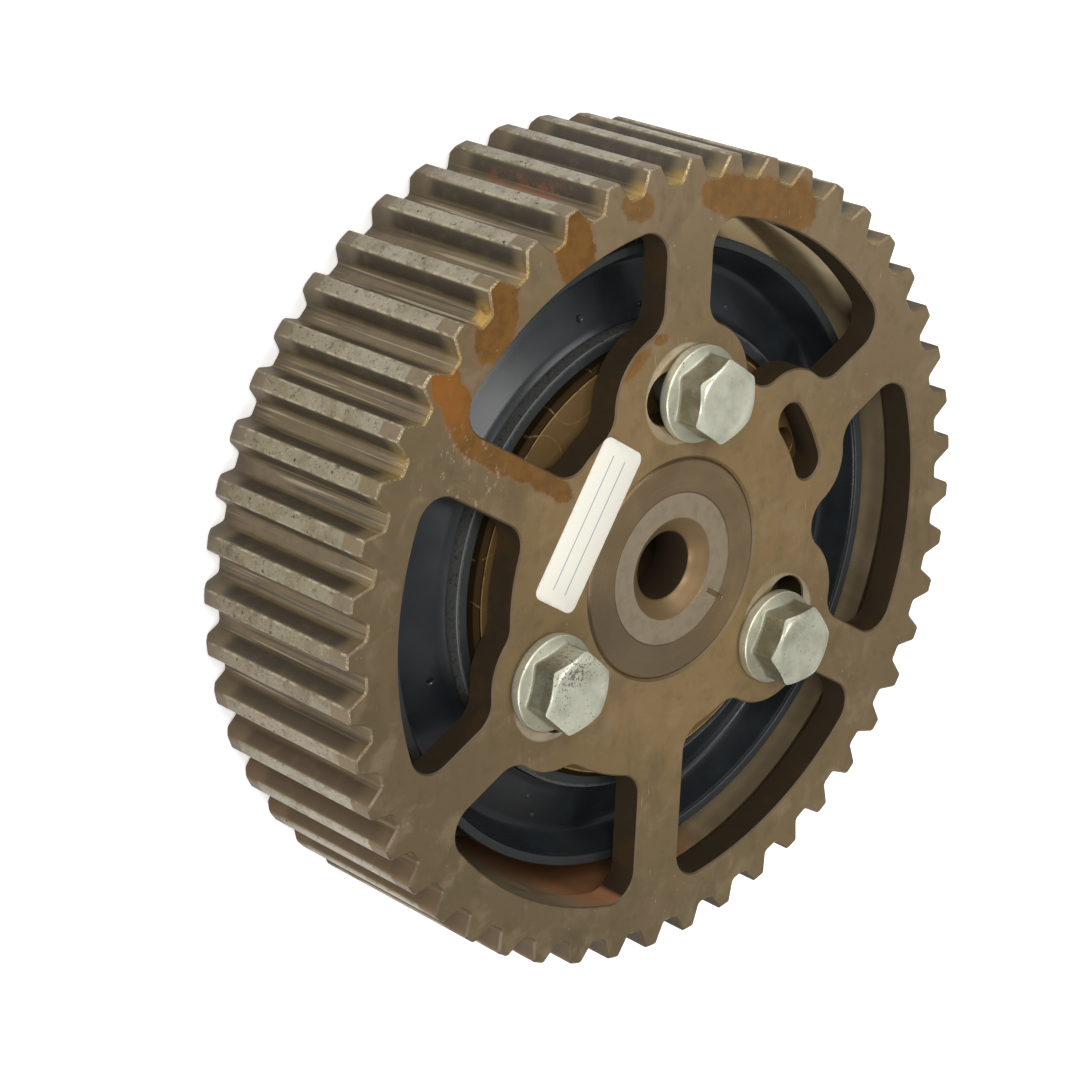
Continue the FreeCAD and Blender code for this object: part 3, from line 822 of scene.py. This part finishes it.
    # painted light: the upper drum wall painted palest
    upper = f.angle.between(0.72, 1.5, 0.15) * f.z.ease(3.0, 8.0)
    drumColour = f.layered(
        "drum",
        ("body", broad.ease(0.35, 0.65) * 0.3 + mottle.ease(0.35, 0.75) * 0.15),
        ("drumRust", (rusty * 0.95).clamped()),
        # painted shadow of the web on the drum wall
        ("wall", f.z.ease(22.5, 29.5) * (1 - upper) * (1 - rusty).clamped() * 0.75),
        ("drumLitPale", upper * 0.9 * (1 - f.z.ease(24.0, 30.0) * 0.2)))
    # window walls that take the drum's colour, as painted light
    below = turn.between(-1.1, -0.1, 0.06) + f.angle.between(1.22, 1.6, 0.08) * f.z.ease(front - 0.5, front - 4.0)
    inDrum = (isDrum + f.radius.ease(60.0, 60.7) * behind * below).clamped()
    base = f.colour(base, drumColour, inDrum)
    base = f.colour(base, "dark", isOpening * 0.45)

    metal = (track * 0.5 + isEdge * broken * 0.6 + imprint * 0.45 + 0.25 + rustMask.most(streakMask) * 0.2
             + isWall * (1 - inDrum) * 0.45 - inDrum * 0.25 + shade.most(lowEnds * 0.4) * isTooth * 0.55).clamped()
    rough = (0.52 + (grain - 0.5) * 0.2 + rustMask * 0.3 + shade * isTooth * 0.25 + isWall * 0.2 + faintMask * 0.08
             - track * 0.06 - isEdge * 0.1 + (broad - 0.5) * 0.12).clamped()
    relief = (grain * 0.02 + fine * 0.008 + mottle * 0.02 - (pits * 0.07 + dents * 0.12 + patches * 0.03) * track
              + rustMask * (f.noise(1.6, 4, 0.7) * 0.05) - isEdge * broken * 0.02)
    return f.use(baseColour=base, metallic=metal, roughness=rough, specular=0.45, normal=f.bump(relief, 0.8))


# Turned steel of the hub: satin brown film, lathe rings, pale clamp ring, dark bore

turned = {
    "film": (130, 110, 80), "filmDark": (110, 92, 66), "clamp": (158, 144, 122), "mouth": (122, 99, 66),
    "bore": (62, 52, 40), "gold": (190, 158, 100), "seamShading": (36, 29, 22), "flange": (116, 90, 52),
    "flangeEdge": (36, 27, 17), "noseDark": (100, 88, 70),
    # where each mark begins and ends, as heights or as radii
    "noseHeights": (38.2, 38.3), "coneHeights": (35.9, 36.2), "boreHeights": (36.4, 35.8), "rimHeights": (29.8, 30.4),
    "flangeHeights": (24.0, 31.0), "lineHeights": (31.6, 32.2), "clampRadii": (9.2, 13.65), "seatRadii": (13.6, 13.85),
    "seamRadii": (19.2, 19.7), "coneRadii": (9.2, 9.0), "boreRadii": (9.0, 6.3), "flangeRadii": (20.5, 21.5),
    "rimRadii": (38.66, 38.8), "lineRadii": (38.5, 38.72),
    # thin golden arcs on the flange: x, y, radius
    "arcs": ((-19.6, 33.4, 5.2), (-27.4, 21.9, 5.8), (-36.0, 4.0, 5.0), (-31.0, -14.0, 5.4), (24.0, 29.0, 5.2),
             (8.0, -36.0, 5.4)),
}


def hubFinish():
    s = turned
    f = Finish("turned steel", turned)
    broad, mottle, grain = f.noise(0.08, 3), f.noise(0.5, 4, 0.6), f.noise(3.0, 3, 0.6)
    rings = f.noise(1.0, 3, 0.6, at=f.wound(0.6, 5.0, 1.0))
    ringsWide = f.noise(1.0, 2, 0.5, at=f.wound(0.4, 1.3, 0.3))
    onNose = f.z.ease(*s["noseHeights"])
    clampRing = f.radius.between(*s["clampRadii"], 0.12) * onNose
    seamShading = f.radius.ease(*s["seamRadii"]) * onNose
    cone = f.radius.ease(*s["coneRadii"]) * f.z.ease(*s["coneHeights"])
    flange = f.radius.ease(*s["flangeRadii"]) * f.z.ease(*s["flangeHeights"])
    rim = f.radius.ease(*s["rimRadii"]) * f.z.ease(*s["rimHeights"])
    rimLine = f.radius.between(*s["lineRadii"], 0.06) * f.z.ease(*s["lineHeights"]) * mottle.ease(0.3, 0.5)
    arcs = highest((1 - f.blob(x, y, size, size, 0)).between(0.965, 1.0, 0.02) for x, y, size in s["arcs"])
    scratches = f.noise(2.0, 2, 0.5, at=f.stretched(0.3, 3.0, 1.0)).ease(0.68, 0.74) * onNose
    base = f.layered(
        "film",
        ("filmDark", broad.ease(0.4, 0.62) * 0.6),
        ("filmDark", rings.ease(0.45, 0.7) * 0.25),
        ("clamp", ringsWide.ease(0.5, 0.75) * 0.08),
        # painted shade: the nose face darker towards the lower left
        ("noseDark", (f.x * -0.5 - f.y * 0.8).ease(-2.0, 16.0) * onNose * 0.6),
        ("clamp", clampRing * (mottle.ease(0.25, 0.6) * 0.35 + 0.6)),
        ("seamShading", f.radius.between(*s["seatRadii"], 0.07) * onNose * 0.4),
        # painted shadow in the seam on its upper left, painted highlight on its lower right
        ("seamShading", seamShading * (f.x * -0.6 + f.y * 0.8).ease(-4.0, 10.0) * 0.6),
        ("gold", seamShading * (f.x * 0.6 - f.y * 0.8).ease(0.0, 14.0) * 0.5),
        ("mouth", cone * 0.85),
        ("bore", f.radius.ease(*s["boreRadii"]) * f.z.ease(*s["boreHeights"]) * 0.9),
        ("flange", flange * (mottle.ease(0.3, 0.6) * 0.2 + 0.75)),
        # painted shade on the flange's rim and painted highlight along its front edge
        ("flangeEdge", rim * 0.9),
        ("gold", rimLine * 0.8),
        ("gold", arcs * flange * mottle.ease(0.4, 0.6) * 0.35),
        ("clamp", scratches * 0.35))
    metal = (0.6 + clampRing * 0.1 + rim * 0.4).clamped()
    rough = (0.42 + (grain - 0.5) * 0.18 + (rings - 0.5) * 0.16 + clampRing * 0.06 + rim * 0.25).clamped()
    relief = rings * 0.03 * onNose + grain * 0.01 + mottle * 0.01
    return f.use(baseColour=base, metallic=metal, roughness=rough, normal=f.bump(relief, 0.7))


# Zinc on the bolts: pale greenish grey, dulled, pitted and scratched tops

zinc = {
    "pale": (222, 222, 202), "dull": (190, 190, 168), "olive": (110, 106, 78), "dark": (58, 56, 42),
    "shine": (236, 236, 224),
    # the chipped patch on a worn head: its middle from the bolt's axis, and its half length, half width and turn
    "chipOffset": (-1.4, 3.9), "chipOval": (5.6, 3.6, 20.0), "headRadius": 8.0,
}


def zincFinish(name, wear, dulled, middle):
    s = zinc
    f = Finish(name, zinc)
    isTop, isCrown, isSide, isFlange, isRim, isThread = f.kinds(
        boltSurface, "top", "crown", "side", "flange", "rim", "thread")
    broad, mottle, grain = f.noise(0.22, 3, 0.6), f.noise(1.3, 4, 0.65), f.noise(6.0, 2, 0.6)
    pits = f.cells(1.1).ease(0.2, 0.08) * f.noise(0.7, 2).ease(0.6 - wear * 0.2, 0.72 - wear * 0.2)
    nicks = f.noise(1.2, 2, 0.5, at=f.stretched(3.0, 0.6, 1.0)).ease(0.68, 0.73)
    chipMiddle = [m + offset for m, offset in zip(middle, s["chipOffset"])]
    chipped = (f.noise(1.5, 4, 0.8) - 0.5 + f.blob(*chipMiddle, *s["chipOval"]) * 0.16).ease(0.11, 0.15)
    chipped = chipped * f.blob(*middle, s["headRadius"], s["headRadius"], 0.0).ease(0.0, 0.1)
    base = f.layered(
        "pale",
        ("dull", (broad.ease(0.4, 0.62) * 0.5 + mottle.ease(0.5, 0.75) * 0.25 + dulled).clamped()),
        ("olive", broad.ease(0.56, 0.78) * 0.25),
        # painted shade: the hex sides darker olive
        ("olive", isSide * (broad.ease(0.3, 0.6) * 0.25 + 0.55)),
        ("dark", (pits * 0.75 + nicks * isTop * 0.35 * wear).clamped()),
        ("dark", chipped * (isTop + isCrown + isSide).clamped() * wear ** 3 * 0.75),
        ("shine", f.noise(1.5, 2, 0.5, at=f.stretched(0.5, 3.0, 1.0)).ease(0.7, 0.75) * 0.5),
        ("olive", isFlange * 0.5),
        ("dark", isThread * 0.45),
        # painted shadow where the flange meets its seat
        ("dark", f.z.ease(bolt["seat"] + 0.7, bolt["seat"] + 0.1) * 0.5))
    rough = (0.31 + (mottle - 0.5) * 0.1 + (grain - 0.5) * 0.04 + pits * 0.2 + (isFlange + isRim) * 0.12).clamped()
    relief = broad * 0.03 + mottle * 0.005 - pits * 0.09 - nicks * isTop * 0.03
    return f.use(baseColour=base, metallic=0.66, roughness=rough, specular=0.6, normal=f.bump(relief, 0.75))


# Damper: satin black rubber with a dusty bloom, grey steel rings

soft = {
    "black": (27, 31, 33), "bloom": (56, 61, 63), "steel": (62, 62, 60), "steelDark": (36, 34, 32),
    "edge": (104, 106, 104), "brown": (62, 52, 40), "lip": (58, 62, 64),
    "hollow": (0.004, 0.004, 0.005),  # linear, unlike the rest
    "dimpleRadius": 0.7,
}


def rubberFinish():
    s = soft
    f = Finish("damper rubber", soft)
    cloud, speck = f.noise(0.1, 3, 0.6), f.noise(3.5, 3, 0.7)
    size = s["dimpleRadius"]
    dimple = highest((1 - f.blob(x, y, size, size, 0)).ease(1.0, 0.5) for x, y in damper["dimples"])
    flash = f.radius.ease(43.2, 42.5) * f.noise(1.6, 3, 0.7)
    base = f.layered(
        "black",
        ("bloom", cloud.ease(0.4, 0.7) * 0.2),
        ("bloom", speck.ease(0.68, 0.8) * 0.1),
        ("brown", f.radius.ease(43.3, 42.4) * f.noise(1.2, 3, 0.7).ease(0.4, 0.6) * 0.15),
        # painted shade in the dimples
        (s["hollow"], dimple * 0.8))
    rough = (0.28 + (cloud - 0.5) * 0.08).clamped()
    return f.use(baseColour=base, roughness=rough, specular=0.5, normal=f.bump(flash * 0.006 - dimple * 0.35, 0.7))


def damperSteelFinish():
    f = Finish("damper steel", soft)
    cloud, mottle, grain = f.noise(0.12, 3, 0.6), f.noise(0.8, 4, 0.65), f.noise(5.0, 2, 0.6)
    rings = f.noise(1.0, 2, 0.5, at=f.wound(0.3, 3.0, 2.0))
    ragged = f.radius + (f.noise(1.4, 3, 0.7) - 0.5) * 1.2
    base = f.layered(
        "steelDark",
        ("steel", (cloud.ease(0.35, 0.65) * 0.6 + rings.ease(0.45, 0.65) * 0.3).clamped()),
        ("brown", mottle.ease(0.5, 0.7) * 0.2),
        # painted reflection: the top of the ring's lip blue-grey
        ("lip", f.z.ease(30.0, 30.5) * 0.7),
        # painted highlight on the sleeve's front edge, ragged where the rubber meets it
        ("edge", ragged.between(41.7, 42.3, 0.1) * f.radius.ease(42.6, 42.4) * 0.5))
    rough = (0.46 + (mottle - 0.5) * 0.12 + (grain - 0.5) * 0.06).clamped()
    return f.use(baseColour=base, metallic=0.45, roughness=rough, normal=f.bump(rings * 0.01 + grain * 0.004, 0.7))


# Paper of the label, blank but for two thin ruled lines

paper = {
    "white": (216, 213, 201), "shade": (202, 199, 186), "rule": (120, 132, 150), "dirt": (186, 178, 160),
    "rules": (-1.55, 1.55), "ruleHalf": 0.11, "ruleReach": 12.2,
}


def labelFinish():
    s = paper
    f = Finish("label paper", paper)
    px, py = polar(label["radius"], label["angle"])
    turn = radians(label["angle"])
    across = (f.x - px) * cos(turn) + (f.y - py) * sin(turn)
    along = (f.y - py) * cos(turn) - (f.x - px) * sin(turn)
    fibre = f.noise(4.0, 3, 0.6)
    edge = highest(abs(way).ease(label[size] / 2 - 0.7, label[size] / 2 - 0.05)
                   for way, size in ((across, "width"), (along, "length")))
    rule = highest(abs(across - at).ease(s["ruleHalf"] + 0.05, s["ruleHalf"] - 0.02) for at in s["rules"])
    rule = rule * abs(along).ease(s["ruleReach"] + 0.05, s["ruleReach"] - 0.05)
    base = f.layered(
        "white",
        ("shade", fibre.ease(0.45, 0.7) * 0.4),
        ("dirt", edge * f.noise(0.8, 3, 0.6).ease(0.42, 0.62) * 0.45),
        ("dirt", f.noise(2.0, 3, 0.7).ease(0.68, 0.76) * 0.3),
        ("rule", rule * 0.75))
    rough = (0.5 + (fibre - 0.5) * 0.1).clamped()
    return f.use(baseColour=base, roughness=rough, specular=0.35, normal=f.bump(fibre * 0.01, 0.5))


# Build

wheel = makeSprocket()
wheel.data.materials.append(sinterFinish())
print("sprocket finished")

for name, at, turn, wear, dulled in zip(bolt["names"], sprocket["slotAngles"], bolt["turns"], bolt["wear"],
                                        bolt["dulled"]):
    made = makeBolt(name, at, turn)
    middle = polar(bolt["circle"], at + bolt["offset"])
    made.data.materials.append(zincFinish("zinc " + name.split("_")[1], wear, dulled, middle))
print("bolts finished")

rubber = makeRubber()
rubber.data.materials.append(rubberFinish())


# Carried-over solids: each one's bevel and the weld's reach in millimetres, and the least angle of an edge

dress = {"bevels": {"hub": 0.12, "damper_sleeve": 0.22, "damper_ring": 0.25}, "weld": 0.003, "edgeAngle": 30}


def dressNode(name, material):
    # gives a solid its own finish and softened edges
    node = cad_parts[name]
    node.data.materials.clear()
    node.data.materials.append(material)
    weld = node.modifiers.new("weld", "WELD")
    weld.merge_threshold = dress["weld"] * mm
    edge = node.modifiers.new("edge", "BEVEL")
    edge.width, edge.segments, edge.limit_method = dress["bevels"][name] * mm, 2, "ANGLE"
    edge.angle_limit = radians(dress["edgeAngle"])
    edge.loop_slide = False
    edge.harden_normals = True


damperSteel = damperSteelFinish()
dressNode("hub", hubFinish())
dressNode("damper_sleeve", damperSteel)
dressNode("damper_ring", damperSteel)
sticker = makeLabel()
sticker.data.materials.append(labelFinish())
print("damper, hub and label finished")


# Studio: pale floor, soft lights, camera at the photograph's angle

studio = {
    "floorSize": 6.0, "floorHeight": -0.0004, "floorColour": (0.96, 0.96, 0.96), "floorGlow": 0.34,
    "floorRoughness": 0.9, "floorShine": 0.1, "fade": (63.5, 68.0), "shadowUnderPart": (120, 106, 82),
    "world": (0.97, 0.97, 0.97), "worldStrength": 0.36,
    "insidePlace": (0.010, 0.040, 0.010), "insideWatts": 0.012, "insideSize": 0.004, "insideColour": (1.0, 0.97, 0.92),
    "aim": (0, 0, 0.02),
    "lights": (
        # name, place, size, watts, colour, whether it shows in glossy surfaces
        ("key", (-0.62, 0.56, 0.78), 0.55, 6.6, (1.0, 0.985, 0.96), True),
        ("top", (0.15, 0.85, 0.75), 0.6, 3.2, (0.97, 0.985, 1.0), True),
        ("side", (-0.80, -0.45, 0.60), 0.5, 4.8, (0.98, 0.99, 1.0), True),
        ("over", (0.21, 0.05, 0.92), 0.22, 1.3, (1.0, 0.99, 0.97), True),
        ("low", (0.10, -0.85, 0.62), 0.5, 2.6, (1.0, 0.99, 0.97), False),
    ),
}


def addLamp(name, kind, place, watts, colour, glossy):
    lamp = bpy.data.lights.new(name, kind)
    lamp.energy, lamp.color = watts, colour
    held = added(name, lamp)
    held.location, held.visible_glossy = place, glossy
    return held


def makeFloor():
    s = studio
    data = bpy.data.meshes.new("floor")
    half, height = s["floorSize"] / 2, s["floorHeight"]
    corners = [(x * half, y * half, height) for x, y in ((-1, -1), (1, -1), (1, 1), (-1, 1))]
    data.from_pydata(corners, [], [(0, 1, 2, 3)])
    floor = added("floor", data)
    # painted shadow: under the part the floor is a dim brown with no glow; further out its glow keeps the background
    # white
    f = Finish("floor paint", s)
    fade = f.radius.ease(*s["fade"])
    data.materials.append(f.use(baseColour=f.colour("shadowUnderPart", s["floorColour"], fade), roughness=s["floorRoughness"],
                                specular=s["floorShine"], emission=fade, glow=s["floorGlow"]))


def makeLight():
    s = studio
    world = bpy.data.worlds.new("studio")
    world.use_nodes = True
    world.node_tree.nodes["Background"].inputs[0].default_value = (*s["world"], 1)
    world.node_tree.nodes["Background"].inputs[1].default_value = s["worldStrength"]
    bpy.context.scene.world = world
    # a small lamp inside the drum stands in for the light that its open back lets in
    inside = addLamp("inside", "POINT", s["insidePlace"], s["insideWatts"], s["insideColour"], False)
    inside.data.shadow_soft_size = s["insideSize"]
    for name, place, size, watts, colour, glossy in s["lights"]:
        held = addLamp(name, "AREA", place, watts, colour, glossy)
        held.data.shape, held.data.size = "DISK", size
        held.rotation_mode = "QUATERNION"
        held.rotation_quaternion = (Vector(s["aim"]) - Vector(place)).to_track_quat("-Z", "Y")


# the camera's place, lens and axes, fitted to the photo's tooth tips and valleys
view = {
    "place": (-0.36655, 0.18753, 0.39286), "lens": 105.6, "sensor": 36.0, "clip": (0.01, 50),
    "right": (0.73606, 0.04060, 0.67569), "up": (0.20100, 0.94008, -0.27543), "back": (-0.64638, 0.33854, 0.68380),
}


def makeCamera():
    data = bpy.data.cameras.new("camera")
    data.lens, data.sensor_width = view["lens"], view["sensor"]
    data.clip_start, data.clip_end = view["clip"]
    camera = added("camera", data)
    axes = Matrix((view["right"], view["up"], view["back"])).transposed().to_4x4()
    camera.matrix_world = Matrix.Translation(view["place"]) @ axes
    bpy.context.scene.camera = camera


makeFloor()
makeLight()
makeCamera()
bpy.context.scene.view_settings.view_transform = "Standard"
print("studio finished")
